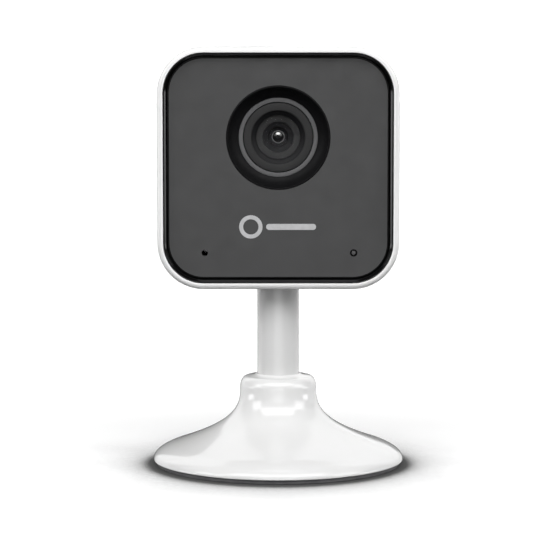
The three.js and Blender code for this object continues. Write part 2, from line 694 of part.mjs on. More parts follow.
// An aluminium plate on the processor.
const SPREADER_BACK = BOARD_FRONT - CHIP_HEIGHT - 2 * GAP;
const heatSpreader = block([11, SPREADER_BACK - 0.8, -5.5], [20, SPREADER_BACK, 3]);
piece(head, 'heat_spreader', heatSpreader, ALUMINIUM);

// A microphone on the board, with a rubber boot that leads to the hole in the panel.
piece(head, 'microphone', onBoard(
  [MIC_X - 1.6, -SIGNAL_DROP - 1.6], [MIC_X + 1.6, -SIGNAL_DROP + 1.6], CHIP_HEIGHT,
), ZINC_STEEL);

const bootBack = BOARD_FRONT - CHIP_HEIGHT - 2 * GAP;
const boot = ringAlongY(0.9, 2.2, PANEL_BACK + GAP, bootBack, 16);
const micBoot = piece(head, 'microphone_boot', boot, SEAL_RUBBER);
micBoot.position.set(MIC_X, 0, -SIGNAL_DROP);

// A status light on the board, with a clear pipe that leads to the hole in the panel.
piece(head, 'status_light', onBoard(
  [LIGHT_X - 1, -SIGNAL_DROP - 0.8], [LIGHT_X + 1, -SIGNAL_DROP + 0.8], 0.8,
), LIGHT_PIPE);

const PIPE_RADIUS = LIGHT_RADIUS - 0.3; // where it shows in the panel
const PIPE_BACK = 3;

const pipe = piece(head, 'light_pipe', turnedAlongY([
  [0, PANEL_FACE + 0.1], [PIPE_RADIUS, PANEL_FACE + 0.1], [PIPE_RADIUS, PANEL_BACK + GAP],
  [1.8, PANEL_BACK + GAP], [1.8, PANEL_BACK + 0.9], [1.1, PANEL_BACK + 1.4],
  [1.1, PIPE_BACK], [0, PIPE_BACK],
], 16), LIGHT_PIPE);
pipe.position.set(LIGHT_X, 0, -SIGNAL_DROP);

// A rounded plate in front of the grille, between two depths.
const behindGrille = (width, height, near, far) => plate(
  roundedRectangle(width, height, 3, [0, SPEAKER_Z]), near, far, null, 4,
);

const SPEAKER_WIDTH = 25;
const SPEAKER_HEIGHT = 13;
const SPEAKER_FRONT = 6;
const SPEAKER_BACK = 9.4;

piece(head, 'speaker', cut(
  behindGrille(SPEAKER_WIDTH, SPEAKER_HEIGHT, SPEAKER_FRONT, SPEAKER_BACK),
  behindGrille(SPEAKER_WIDTH - 4, SPEAKER_HEIGHT - 4, SPEAKER_BACK - 0.7, BACK),
), CHIP_BLACK);
piece(head, 'speaker_seal', cut(
  behindGrille(SPEAKER_WIDTH, SPEAKER_HEIGHT, SPEAKER_BACK + GAP, INNER_BACK - GAP / 2),
  behindGrille(SPEAKER_WIDTH - 3, SPEAKER_HEIGHT - 3, SPEAKER_BACK, BACK),
), SEAL_RUBBER);

// The power inlet: a socket that stands on the board and reaches into the shell's opening.
function powerInlet() {
  const shape = (width, height, corner) => (
    roundedRectangle(width, height, corner, [INLET_X, INLET_Z])
  );
  const can = plate(shape(7.8, 2.9, 0.9), BOARD_BACK + GAP, BACK - 1, null, 3);
  const mouth = plate(shape(7.1, 2.2, 0.6), 7, BACK, null, 3);
  const tongue = block(
    [INLET_X - 2.2, 6.5, INLET_Z - 0.1], [INLET_X + 2.2, BACK - 1.6, INLET_Z + 0.5],
  );
  return join(cut(can, mouth), tongue);
}

piece(head, 'power_inlet', powerInlet(), ZINC_STEEL);

const SWITCH_TOP = 8.4;

piece(head, 'reset_switch', join(
  block([BUTTON_X - 2.2, BOARD_BACK + GAP, BUTTON_Z - 2.2], [BUTTON_X + 2.2, 7.6, BUTTON_Z + 2.2]),
  bar('y', 0.9, 7.4, SWITCH_TOP, [BUTTON_X, 0, BUTTON_Z], 16),
), CHIP_BLACK);

// ---------------------------------------------------------------- head: tilt hinge

const EAR_INNER = 3.05;
const EAR_THICKNESS = 1.1;
const EAR_RADIUS = 3.7;
const EAR_TOP_RISE = 13.5; // top of the ears and the plate above the tilt axis
const PLATE_LOW_RISE = 5.5;
const PLATE_HALF = 10.3;

function tiltBracket() {
  const top = TILT_Z + EAR_TOP_RISE;
  const low = TILT_Z + PLATE_LOW_RISE;
  const shape = new THREE.Shape();
  shape.absarc(0, TILT_Z, EAR_RADIUS, Math.PI * 0.8, Math.PI * 1.97);
  shape.lineTo(BRACKET_NEAR + 0.4, low);
  shape.lineTo(BRACKET_NEAR + 0.4, top);
  shape.lineTo(BRACKET_NEAR - 2, top);
  const options = { depth: EAR_THICKNESS, bevelEnabled: false, curveSegments: 10 };
  const ears = [-EAR_INNER - EAR_THICKNESS, EAR_INNER].map((x) => {
    const ear = new THREE.ExtrudeGeometry(shape, options);
    ear.rotateX(Math.PI / 2).rotateZ(Math.PI / 2);
    return solid(ear.translate(x, 0, 0));
  });
  const backPlate = block([-PLATE_HALF, BRACKET_NEAR, low], [PLATE_HALF, BRACKET_FAR, top]);
  const pinHole = bar('x', PIN_RADIUS + 0.05, -9, 9, [0, 0, TILT_Z]);
  const screwHoles = BRACKET_SCREWS.map(([x, z]) => bar('y', 1.1, 5, 12, [x, 0, z], 12));
  return cut(join(backPlate, ...ears), pinHole, ...screwHoles);
}

piece(head, 'tilt_bracket', tiltBracket(), STEEL);

BRACKET_SCREWS.forEach(([x, z]) => {
  const side = x < 0 ? 'left' : 'right';
  const near = TONGUE_HALF + GAP;
  const far = EAR_INNER - GAP;
  const [from, to] = x < 0 ? [-far, -near] : [near, far];
  const disc = bar('x', 3, from, to, [0, 0, TILT_Z]);
  const bore = bar('x', PIN_RADIUS + 0.1, -9, 9, [0, 0, TILT_Z]);
  piece(head, `tilt_washer_${side}`, cut(disc, bore), ACETAL);
  const fastener = piece(head, `bracket_screw_${side}`, screwForward(0.8, 2.4), ZINC_STEEL);
  fastener.rotation.z = Math.PI;
  fastener.position.set(x, BRACKET_NEAR - GAP, z);
});

const EAR_OUTER = EAR_INNER + EAR_THICKNESS;

piece(head, 'tilt_pin', join(
  bar('x', PIN_RADIUS, -EAR_OUTER - 1.2, EAR_OUTER + 2.2, [0, 0, TILT_Z]),
  bar('x', 2.3, -EAR_OUTER - 1.5, -EAR_OUTER - GAP, [0, 0, TILT_Z]),
), STEEL);
piece(head, 'tilt_nut', cut(
  bar('x', 2.6, EAR_OUTER + GAP, EAR_OUTER + 1.9, [0, 0, TILT_Z], 6),
  bar('x', PIN_RADIUS + 0.05, 0, 9, [0, 0, TILT_Z]),
), ZINC_STEEL);

// ---------------------------------------------------------------- reset button

const BUTTON_REST = SWITCH_TOP + BUTTON_TRAVEL + 0.1; // the inner end's depth, at rest
const BUTTON_FLANGE = 2.3;

const button = piece(head, 'reset_button', turnedAlongY([
  [0, BUTTON_REST], [BUTTON_FLANGE, BUTTON_REST], [BUTTON_FLANGE, INNER_BACK - 0.2],
  [BUTTON_RADIUS, INNER_BACK - 0.2], [BUTTON_RADIUS, BACK - 0.5], [BUTTON_RADIUS - 0.3, BACK - 0.2],
  [0, BACK - 0.2],
], 24), PANEL_GREY);
button.position.set(BUTTON_X, 0, BUTTON_Z);

// ---------------------------------------------------------------- the whole camera

const camera = new THREE.Group();
camera.add(foot, stem, head);

export default camera;
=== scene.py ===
"""A small indoor security camera: a square head on a round stem, on a flared foot.

Lengths are metres in the CAD frame: +Z up, the camera looks along -Y, and the origin is
the centre of the foot's underside.
"""

import json
import math

import bmesh
import bpy
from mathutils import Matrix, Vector


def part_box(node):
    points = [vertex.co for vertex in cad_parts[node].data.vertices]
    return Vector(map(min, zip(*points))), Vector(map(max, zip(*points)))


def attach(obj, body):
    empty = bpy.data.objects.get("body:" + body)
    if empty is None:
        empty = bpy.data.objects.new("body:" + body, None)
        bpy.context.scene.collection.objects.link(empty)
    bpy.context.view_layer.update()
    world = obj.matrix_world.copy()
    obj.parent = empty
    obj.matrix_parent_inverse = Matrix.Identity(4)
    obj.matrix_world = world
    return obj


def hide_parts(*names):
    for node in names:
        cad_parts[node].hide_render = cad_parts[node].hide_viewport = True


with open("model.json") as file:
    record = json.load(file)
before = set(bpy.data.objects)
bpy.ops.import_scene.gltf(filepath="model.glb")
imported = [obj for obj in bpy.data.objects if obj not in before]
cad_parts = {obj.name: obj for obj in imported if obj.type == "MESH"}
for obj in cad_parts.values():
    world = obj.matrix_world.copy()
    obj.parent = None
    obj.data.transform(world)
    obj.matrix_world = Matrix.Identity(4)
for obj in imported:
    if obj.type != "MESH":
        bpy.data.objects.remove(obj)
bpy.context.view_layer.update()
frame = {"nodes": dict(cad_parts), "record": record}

MM = 0.001
RIGHT = math.pi / 2
TINY = 1e-9  # anything shorter counts as nothing
MERGE_DISTANCE = 1e-7
SHARP_ANGLE = math.radians(32)
FLAT_FACE_WEIGHT = 100

# ------------------------------------------------------------------ sizes from the frame

HEAD_LOW, HEAD_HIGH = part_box("rear_shell")
HEAD_CENTRE = (HEAD_LOW + HEAD_HIGH) / 2
HEAD_HALF = (HEAD_HIGH.x - HEAD_LOW.x) / 2
HEAD_CORNER = 11.5 * MM
REAR_EDGE = 4.5 * MM  # rounding round the head's back
WALL = 2 * MM
FRONT = HEAD_LOW.y
BACK = HEAD_HIGH.y

PANEL_LOW, PANEL_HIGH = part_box("front_panel")
PANEL_HALF = (PANEL_HIGH.x - PANEL_LOW.x) / 2
PANEL_CORNER = 10 * MM
PANEL_EDGE = PANEL_LOW.y
PANEL_FACE = PANEL_EDGE + 2.2 * MM
PANEL_BACK = PANEL_FACE + 2 * MM

LENS_LOW, LENS_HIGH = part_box("lens_ring")
LENS_CENTRE = Vector((0, 0, (LENS_LOW.z + LENS_HIGH.z) / 2))
RING_RADIUS = (LENS_HIGH.x - LENS_LOW.x) / 2
RECESS_RADIUS = 12.85 * MM

FOOT_LOW, FOOT_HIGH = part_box("foot_shell")
FOOT_RADIUS = FOOT_HIGH.x
COLLAR_TOP = FOOT_HIGH.z
COLLAR_RADIUS = 9.6 * MM

STEM_LOW, STEM_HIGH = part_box("stem_sleeve")
STEM_RADIUS = STEM_HIGH.x
STEM_BORE = 3.1 * MM


def middle(node):
    """The centre of a CAD node's box."""
    low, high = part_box(node)
    return (low + high) / 2


# ------------------------------------------------------------------ outlines


def arc(centre, radii, start, end, steps=8):
    """Points on an ellipse's arc between two angles in degrees."""
    points = []
    for i in range(steps + 1):
        angle = math.radians(start + (end - start) * i / steps)
        points.append((
            centre[0] + radii[0] * math.cos(angle),
            centre[1] + radii[1] * math.sin(angle),
        ))
    return points


def bezier(p0, p1, p2, p3, steps):
    """Points on a cubic curve."""
    points = []
    for i in range(steps + 1):
        t = i / steps
        s = 1 - t
        weights = (s ** 3, 3 * s * s * t, 3 * s * t * t, t ** 3)
        points.append(tuple(
            sum(w * p[k] for w, p in zip(weights, (p0, p1, p2, p3))) for k in (0, 1)
        ))
    return points


def in_mm(points):
    """Points given in millimetres, as metres."""
    return [(a * MM, b * MM) for a, b in points]


# ------------------------------------------------------------------ meshes


def new_object(name, bm):
    """An object from a bmesh, with its faces turned outwards."""
    bmesh.ops.remove_doubles(bm, verts=bm.verts, dist=MERGE_DISTANCE)
    bmesh.ops.recalc_face_normals(bm, faces=bm.faces)
    mesh = bpy.data.meshes.new(name)
    bm.to_mesh(mesh)
    bm.free()
    obj = bpy.data.objects.new(name, mesh)
    bpy.context.scene.collection.objects.link(obj)
    soften(obj)
    return obj


def soften(obj):
    """Smooth shading that keeps sharp edges sharp and large flat faces flat."""
    obj.data.shade_smooth()
    obj.data.set_sharp_from_angle(angle=SHARP_ANGLE)
    if "even_normals" not in obj.modifiers:
        modifier = obj.modifiers.new("even_normals", "WEIGHTED_NORMAL")
        modifier.keep_sharp = True
        modifier.weight = FLAT_FACE_WEIGHT


def add_rings(bm, rings, closed_loop):
    """Joins rings of points with quads. A ring of one point is a tip."""
    made = [[bm.verts.new(point) for point in ring] for ring in rings]
    pairs = list(zip(made, made[1:]))
    if closed_loop:
        pairs.append((made[-1], made[0]))
    for near, far in pairs:
        count = max(len(near), len(far))
        if count == 1:
            continue
        for i in range(count):
            corners = [near[i % len(near)], near[(i + 1) % len(near)],
                       far[(i + 1) % len(far)], far[i % len(far)]]
            unique = list(dict.fromkeys(corners))
            if len(unique) > 2:
                bm.faces.new(unique)
    return made


def turned(name, profile, axis="Z", centre=(0, 0, 0), sides=160):
    """A body turned about Z or Y from (radius, height) points. The profile starts and ends
    on the axis, or is closed here into a loop."""
    closed_loop = profile[0][0] > TINY or profile[-1][0] > TINY
    origin = Vector(centre)
    rings = []
    for radius, height in profile:
        turns = sides if radius > TINY else 1
        ring = []
        for i in range(turns):
            angle = 2 * math.pi * i / sides
            x, other = radius * math.cos(angle), radius * math.sin(angle)
            place = (x, other, height) if axis == "Z" else (x, height, other)
            ring.append(origin + Vector(place))
        rings.append(ring)
    bm = bmesh.new()
    add_rings(bm, rings, closed_loop)
    return new_object(name, bm)


QUARTERS = ((1, 1), (-1, 1), (-1, -1), (1, -1))  # signs of X and Z, going round


def square_ring(half, corner, inset, depth, centre):
    """A rounded square in X and Z, shrunk by inset, at one depth along Y."""
    steps = 18
    radius = corner - inset
    reach = half - corner
    points = []
    for quarter, (sx, sz) in enumerate(QUARTERS):
        for i in range(steps + 1):
            angle = RIGHT * (quarter + i / steps)
            points.append(Vector((
                centre.x + sx * reach + radius * math.cos(angle),
                depth,
                centre.z + sz * reach + radius * math.sin(angle),
            )))
    return points


def swept_square(name, profile, half, corner, centre):
    """A plate or tray whose wall follows (inset, depth) points round a rounded square. Its
    first and last rings are filled with flat faces."""
    rings = [square_ring(half, corner, inset, depth, centre) for inset, depth in profile]
    bm = bmesh.new()
    made = add_rings(bm, rings, closed_loop=False)
    bm.faces.new(made[0])
    bm.faces.new(made[-1])
    return new_object(name, bm)


def round_edges(bm, edges, radius):
    """Rounds edges with three narrow faces each."""
    bmesh.ops.bevel(bm, geom=edges, offset=radius, segments=3, profile=0.5, affect="EDGES",
                    clamp_overlap=True)


def plate(name, outline, near, far, edge=0.0):
    """A plate with a closed outline of (x, z) points, rounded by edge on its rims."""
    bm = bmesh.new()
    front = [bm.verts.new((x, near, z)) for x, z in outline]
    face = bm.faces.new(front)
    made = bmesh.ops.extrude_face_region(bm, geom=[face])["geom"]
    moved = [item for item in made if isinstance(item, bmesh.types.BMVert)]
    bmesh.ops.translate(bm, vec=(0, far - near, 0), verts=moved)
    if edge:
        rims = [e for e in bm.edges if abs(e.verts[0].co.y - e.verts[1].co.y) < TINY]
        round_edges(bm, rims, edge)
    return new_object(name, bm)


def pill(width, height, corner, centre, steps=8):
    """The outline of a rectangle with rounded corners."""
    points = []
    for quarter, (sx, sz) in enumerate(QUARTERS):
        start = 90 * quarter
        turn = (centre[0] + sx * (width / 2 - corner), centre[1] + sz * (height / 2 - corner))
        points += arc(turn, (corner, corner), start, start + 90, steps)
    return points


def carve(body, *tools):
    """Cuts tools out of a body, and removes them."""
    for tool in tools:
        modifier = body.modifiers.new("carve", "BOOLEAN")
        modifier.object = tool
        modifier.operation = "DIFFERENCE"
        modifier.solver = "EXACT"
    graph = bpy.context.evaluated_depsgraph_get()
    mesh = bpy.data.meshes.new_from_object(body.evaluated_get(graph))
    body.modifiers.clear()
    body.data = mesh
    for tool in tools:
        bpy.data.objects.remove(tool)
    soften(body)


def drill(name, radius, near, far, centre, flare, sides=48):
    """A tool for a round hole along Y. Its mouth at far widens by flare, to round the
    hole's edge."""
    outward = math.copysign(flare, far - near)
    profile = [(0, near), (radius, near)]
    profile += arc((radius + flare, far - outward), (flare, outward), 180, 90, 5)
    profile += [(radius + flare, far + outward), (0, far + outward)]
    return turned(name, profile, "Y", centre, sides)


# ------------------------------------------------------------------ materials


class Paint:
    """A procedural material: one Principled shader, with helpers that add its detail."""

    def __init__(self, name, color, roughness, **sockets):
        self.material = bpy.data.materials.new(name)
        self.material.use_nodes = True
        self.nodes = self.material.node_tree.nodes
        self.links = self.material.node_tree.links
        self.shader = self.nodes["Principled BSDF"]
        self.color = color
        self.roughness = roughness
        self.shader.inputs["Base Color"].default_value = (*color, 1)
        self.shader.inputs["Roughness"].default_value = roughness
        for socket, value in sockets.items():
            self.shader.inputs[socket.replace("_", " ")].default_value = value
        self.coordinates = self.nodes.new("ShaderNodeTexCoord")
        self.relief = None  # the normal that the last bump gives

    def noise(self, scale, detail, roughness=0.5, stretch=(1, 1, 1)):
        """Noise in the object's own coordinates, with scale features to the metre."""
        mapping = self.nodes.new("ShaderNodeMapping")
        mapping.inputs["Scale"].default_value = stretch
        self.links.new(self.coordinates.outputs["Object"], mapping.inputs["Vector"])
        noise = self.nodes.new("ShaderNodeTexNoise")
        noise.inputs["Scale"].default_value = scale
        noise.inputs["Detail"].default_value = detail
        noise.inputs["Roughness"].default_value = roughness
        self.links.new(mapping.outputs["Vector"], noise.inputs["Vector"])
        return noise.outputs["Fac"]

    def remap(self, value, low, high, from_low=0.3, from_high=0.7):
        """Maps a socket's range to low and high. Noise stays mostly within 0.3 to 0.7."""
        node = self.nodes.new("ShaderNodeMapRange")
        node.inputs["From Min"].default_value = from_low
        node.inputs["From Max"].default_value = from_high
        node.inputs["To Min"].default_value = low
        node.inputs["To Max"].default_value = high
        self.links.new(value, node.inputs["Value"])
        return node.outputs["Result"]

    def vary_color(self, scale, amount, tint=(1, 1, 1)):
        """Drifts the colour by amount between two close tones."""
        ramp = self.nodes.new("ShaderNodeValToRGB")
        ramp.color_ramp.elements[0].position = 0.35
        ramp.color_ramp.elements[1].position = 0.65
        low = [c * (1 - amount * t) for c, t in zip(self.color, tint)]
        high = [min(1.0, c * (1 + amount)) for c in self.color]
        ramp.color_ramp.elements[0].color = (*low, 1)
        ramp.color_ramp.elements[1].color = (*high, 1)
        self.links.new(self.noise(scale, 4), ramp.inputs["Fac"])
        self.links.new(ramp.outputs["Color"], self.shader.inputs["Base Color"])
        return self

    def vary_roughness(self, scale, amount, stretch=(1, 1, 1)):
        """Smudges the gloss: roughness drifts by amount."""
        value = self.noise(scale, 5, 0.6, stretch)
        low, high = self.roughness * (1 - amount), self.roughness * (1 + amount)
        self.links.new(self.remap(value, low, high), self.shader.inputs["Roughness"])
        return self

    def bump(self, scale, depth, detail=2.0, stretch=(1, 1, 1)):
        """Adds relief of the given depth in metres, at 1/scale metres."""
        node = self.nodes.new("ShaderNodeBump")
        node.inputs["Strength"].default_value = 1.0
        node.inputs["Distance"].default_value = depth
        self.links.new(self.noise(scale, detail, 0.5, stretch), node.inputs["Height"])
        if self.relief:
            self.links.new(self.relief, node.inputs["Normal"])
        self.relief = node.outputs["Normal"]
        self.links.new(self.relief, self.shader.inputs["Normal"])
        return self


def gloss_white(name, albedo):
    """Injection-moulded white plastic with a polished skin."""
    paint = Paint(name, (albedo, albedo, albedo), 0.1, Coat_Weight=0.3, Coat_Roughness=0.02)
    paint.vary_color(60, 0.012, (1.0, 1.0, 1.3))
    paint.vary_roughness(130, 0.22)
    return paint.bump(420, 0.6e-6, 1).bump(5200, 0.10e-6).material


def panel_face():
    """Dark grey satin plastic with a very fine spark-eroded grain."""
    paint = Paint("panel_face", (0.034, 0.0342, 0.035), 0.34, Specular_IOR_Level=0.5)
    paint.vary_color(90, 0.04)
    paint.vary_roughness(240, 0.12)
    return paint.bump(7500, 1.6e-6, 3).bump(900, 0.8e-6).material


def panel_wall():
    """The polished black edge round the panel's face."""
    paint = Paint("panel_wall", (0.002, 0.002, 0.0021), 0.12, Specular_IOR_Level=0.3)
    paint.vary_color(120, 0.15)
    paint.vary_roughness(300, 0.2)
    return paint.bump(1500, 0.5e-6).material


def black_gloss():
    """Near-black plastic that passes infrared, for the cone round the lens."""
    paint = Paint("black_gloss", (0.0045, 0.0045, 0.005), 0.5, Specular_IOR_Level=0.1)
    paint.vary_color(150, 0.12)
    paint.vary_roughness(320, 0.18)
    return paint.bump(4000, 0.7e-6).material


def satin(name, color, roughness, grain=6000, shine=0.4):
    """Satin moulded plastic in any colour."""
    paint = Paint(name, color, roughness, Specular_IOR_Level=shine)
    paint.vary_color(200, 0.06)
    paint.vary_roughness(300, 0.15)
    return paint.bump(grain, 1.0e-6, 3).material


def glass(name, color, index):
    """Optical glass. Anti-reflection coating is shown as a low refractive index."""
    paint = Paint(name, color, 0.0, Transmission_Weight=1.0, IOR=index)
    return paint.bump(180, 0.02e-6, 0).material


def pupil_glass():
    """The small inner lens: black behind a surface that mirrors the studio lights."""
    paint = Paint("pupil_glass", (0.002, 0.002, 0.0025), 0.03, IOR=3.6)
    paint.vary_roughness(900, 0.3)
    return paint.bump(400, 0.02e-6, 0).material


def rubber(name, color):
    """Matt rubber with a dusty, pitted skin."""
    paint = Paint(name, color, 0.82, Specular_IOR_Level=0.25)
    paint.vary_color(300, 0.12)
    paint.vary_roughness(400, 0.08)
    return paint.bump(2600, 6e-6, 4).material


def metal(name, color, roughness, brush=(1, 1, 1)):
    """Plated or bare metal, brushed along one axis where brush stretches it."""
    paint = Paint(name, color, roughness, Metallic=1.0)
    paint.vary_color(400, 0.05)
    paint.vary_roughness(900, 0.25, brush)
    return paint.bump(3000, 0.8e-6, 3, brush).material


def board_green():
    """Solder mask over copper: a fine grid of raised tracks under the varnish."""
    paint = Paint("board_green", (0.012, 0.10, 0.045), 0.3, Coat_Weight=0.5, Coat_Roughness=0.1)
    paint.vary_color(700, 0.25)
    return paint.bump(1400, 6e-6, 1, (1, 1, 4)).bump(1400, 6e-6, 1, (4, 1, 1)).material


def ink():
    """Light grey pad-printing ink."""
    paint = Paint("mark_ink", (0.5, 0.5, 0.51), 0.5)
    paint.vary_color(900, 0.05)
    return paint.bump(5000, 0.8e-6).material


def floor_paint():
    """Pale studio floor. Its colour and glow are painted darker where the object stands close above
    it, a painted shadow which deepens the soft shadow round the foot."""
    paint = Paint("studio_floor", (1, 1, 1), 0.9, Specular_IOR_Level=0.0, Emission_Strength=0.12)
    openness = paint.nodes.new("ShaderNodeAmbientOcclusion")
    openness.samples = 32
    openness.inputs["Distance"].default_value = 75 * MM
    shade = paint.remap(openness.outputs["AO"], 0.1, 1.0, 0.72, 0.955)
    shade.node.interpolation_type = "SMOOTHSTEP"
    # painted shadow: the occlusion darkens both the floor's colour and its glow
    for socket in ("Base Color", "Emission Color"):
        paint.links.new(shade, paint.shader.inputs[socket])
    return paint.bump(300, 2e-6).material


def wall_paint():
    """The studio's lit white wall."""
    white = (1, 1, 1, 1)
    paint = Paint("studio_wall", (0.9, 0.9, 0.9), 0.9, Emission_Color=white, Emission_Strength=1.0)
    return paint.vary_color(3, 0.01).material


# One white plastic in three tones: the foot's and the stem's are painted darker than the head's, as
# painted shade; the stem's, which sits under the head, is darkest.
SHELL_WHITE = gloss_white("shell_white", 0.87)
FOOT_WHITE_PAINTED_SHADE = gloss_white("foot_white_painted_shade", 0.75)
STEM_WHITE_PAINTED_SHADE = gloss_white("stem_white_painted_shade", 0.66)
PANEL_FACE_PAINT = panel_face()
PANEL_WALL_PAINT = panel_wall()
BLACK_GLOSS = black_gloss()
RING_GREY = satin("ring_grey", (0.11, 0.11, 0.113), 0.45, shine=0.3)
BARREL_GREY = satin("barrel_grey", (0.024, 0.024, 0.0245), 0.45, shine=0.25)
BARREL_BLACK = satin("barrel_black", (0.008, 0.008, 0.009), 0.5, shine=0.15)
COVER_BLACK = satin("cover_black", (0.012, 0.012, 0.013), 0.5)
CHIP_BLACK = satin("chip_black", (0.012, 0.012, 0.013), 0.55, 9000)
BUTTON_GREY = satin("button_grey", (0.16, 0.16, 0.165), 0.4)
ACETAL = satin("acetal", (0.72, 0.72, 0.68), 0.4)
LENS_GLASS = glass("lens_glass", (0.97, 0.97, 0.97), 1.05)
PUPIL_GLASS = pupil_glass()
FILTER_GLASS = glass("filter_glass", (0.45, 0.75, 0.8), 1.5)
PIPE_CLEAR = satin("light_pipe_clear", (0.06, 0.06, 0.062), 0.3)
PAD_RUBBER = rubber("pad_rubber", (0.13, 0.13, 0.135))
SEAL_RUBBER = rubber("seal_rubber", (0.005, 0.005, 0.005))
STEEL = metal("steel", (0.42, 0.42, 0.43), 0.35, (1, 1, 8))
BRIGHT_STEEL = metal("bright_steel", (0.62, 0.63, 0.64), 0.25)
ALUMINIUM = metal("aluminium", (0.72, 0.73, 0.75), 0.35, (6, 1, 1))
GOLD = metal("gold_contact", (0.83, 0.60, 0.27), 0.3)
BOARD_GREEN = board_green()
MARK_INK = ink()


def repaint(obj, index, chosen):
    """Gives the faces that chosen picks another of the object's materials."""
    for face in obj.data.polygons:
        if chosen(face):
            face.material_index = index


def off_axis(face):
    """A face's distance from the axis of the lens."""
    return math.hypot(face.center.x, face.center.z - LENS_CENTRE.z)


def finish(obj, body, slot, *paints):
    """Gives a piece its materials and its body. The slot is not used."""
    for paint in paints:
        obj.data.materials.append(paint)
    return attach(obj, body)


# ------------------------------------------------------------------ foot


def foot_shell():
    """The glossy skirt: a straight collar that flares out to a thin rim."""
    r, top = COLLAR_RADIUS / MM, COLLAR_TOP / MM
    rim, low = FOOT_RADIUS / MM, FOOT_LOW.z / MM
    bore = STEM_RADIUS / MM + 0.06
    seat = top - 4.6  # where the sleeve stands in the collar
    lip, edge = 0.12, 0.2
    shoulder = (r - 1.7, top - 0.7)
    side = (r, top - 3.3)
    skirt = (26.4, 5.4)
    collar_bore = [(bore, seat), (bore, top - 0.1)]
    collar_bore += arc((bore + lip, top - lip), (lip, lip), 180, 90, 3)[1:]
    collar = bezier((bore + 0.25, top - 0.02), (bore + 0.6, top - 0.35),
                    (bore + 1.3, top - 0.62), shoulder, 10)
    collar += bezier(shoulder, (r - 0.75, top - 0.78), (r, top - 1.9), side, 16)[1:]
    flare = bezier(side, (r, 15), (10, 11), skirt, 48)[1:]
    flare += bezier(skirt, (31.4, 3.7), (rim, 2.1), (rim, low + edge), 24)[1:]
    flare += arc((rim - edge, low + edge), (edge, edge), 0, -90, 4)[1:]
    inside = [(rim - 1.8, low), (rim - 1.8, low + 1.6), (26.4, 3.6), (11.3, 11.1), (7.8, 15),
              (7.8, 16.8), (5.4, 16.8), (5.4, 9), (STEM_BORE / MM, 9), (STEM_BORE / MM, seat)]
    profile = collar_bore + collar + flare + inside
    obj = turned("foot_shell_fine", in_mm(profile), sides=256)
    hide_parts("foot_shell")
    return finish(obj, "foot", "white_gloss", FOOT_WHITE_PAINTED_SHADE)


def foot_pad():
    """The thin rubber pad, with a rounded edge and a fine moulded groove underneath."""
    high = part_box("foot_pad")[1]
    r, top = high.x / MM, high.z / MM
    width, height = 0.5, 0.45  # of the rounded edge
    groove = [(r - 4.2, 0), (r - 4.0, 0.25), (r - 3.4, 0.25), (r - 3.2, 0)]
    profile = [(0, 0)] + groove + [(r - width, 0)]
    profile += arc((r - width, height), (width, height), -90, 0, 6)[1:]
    profile += [(r, top), (0, top)]
    obj = turned("foot_pad_fine", in_mm(profile), sides=256)
    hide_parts("foot_pad")
    return finish(obj, "foot", "pad_rubber", PAD_RUBBER)


foot_shell()
foot_pad()

# ------------------------------------------------------------------ stem


def stem_sleeve():
    """The white tube round the stem's core, rounded at its top."""
    r, low, high = STEM_RADIUS, STEM_LOW.z, STEM_HIGH.z
    edge = 0.7 * MM
    profile = [(STEM_BORE, low), (r, low), (r, high - edge)]
    profile += arc((r - edge, high - edge), (edge, edge), 0, 90, 6)[1:]
    profile += [(STEM_BORE, high)]
    obj = turned("stem_sleeve_fine", profile)
    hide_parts("stem_sleeve")
    return finish(obj, "stem", "white_gloss", STEM_WHITE_PAINTED_SHADE)


stem_sleeve()

# ------------------------------------------------------------------ head: shell

GRILLE_PITCH = 3 * MM
GRILLE_HOLE = 0.6 * MM
BUTTON_RADIUS = 1.5 * MM
SLOT_HALF = STEM_RADIUS + 0.4 * MM
SLOT_FRONT_CENTRE = -2.35 * MM
SLOT_TOP_CENTRE = HEAD_LOW.z + 0.6 * MM
SLOT_EDGE = 0.3 * MM


def tilt_slot_tool():
    """The slot that lets the stem swing: round at its front end in the underside, and round
    at its top in the back."""
    clear = 2 * MM
    steps = 36
    rings = []
    for i in range(steps + 1):
        angle = math.pi * i / steps
        across, rise = SLOT_HALF * math.cos(angle), SLOT_HALF * math.sin(angle)
        front, top = SLOT_FRONT_CENTRE - rise, SLOT_TOP_CENTRE + rise
        rings.append([
            (across, front, HEAD_LOW.z - clear), (across, BACK + clear, HEAD_LOW.z - clear),
            (across, BACK + clear, top), (across, front, top),
        ])
    bm = bmesh.new()
    made = add_rings(bm, rings, closed_loop=False)
    bm.faces.new(made[0])
    bm.faces.new(made[-1])
    return new_object("slot_tool", bm)


def on_slot_rim(point):
    """Whether a point of the slot's edge is on the outside of the shell: on its underside,
    on its back, or on the rounding between them."""
    near = 0.01 * MM
    if abs(point.x) > SLOT_HALF + near or point.z > SLOT_TOP_CENTRE + SLOT_HALF + near:
        return False
    if point.y > BACK - REAR_EDGE and point.z < HEAD_LOW.z + REAR_EDGE:
        rounding = math.hypot(point.y - (BACK - REAR_EDGE), point.z - (HEAD_LOW.z + REAR_EDGE))
        return abs(rounding - REAR_EDGE) < 10 * near
    on_underside = point.z < HEAD_LOW.z + near and point.y > SLOT_FRONT_CENTRE - SLOT_HALF - near
    return on_underside or point.y > BACK - near


def round_slot_edge(obj):
    """Rounds the slot's edges on the outside of the shell."""
    bm = bmesh.new()
    bm.from_mesh(obj.data)
    rims = []
    for edge in bm.edges:
        sharp = len(edge.link_faces) == 2 and edge.calc_face_angle(0) > math.radians(40)
        if sharp and on_slot_rim((edge.verts[0].co + edge.verts[1].co) / 2):
            rims.append(edge)
    round_edges(bm, rims, SLOT_EDGE)
    bm.to_mesh(obj.data)
    bm.free()
    soften(obj)


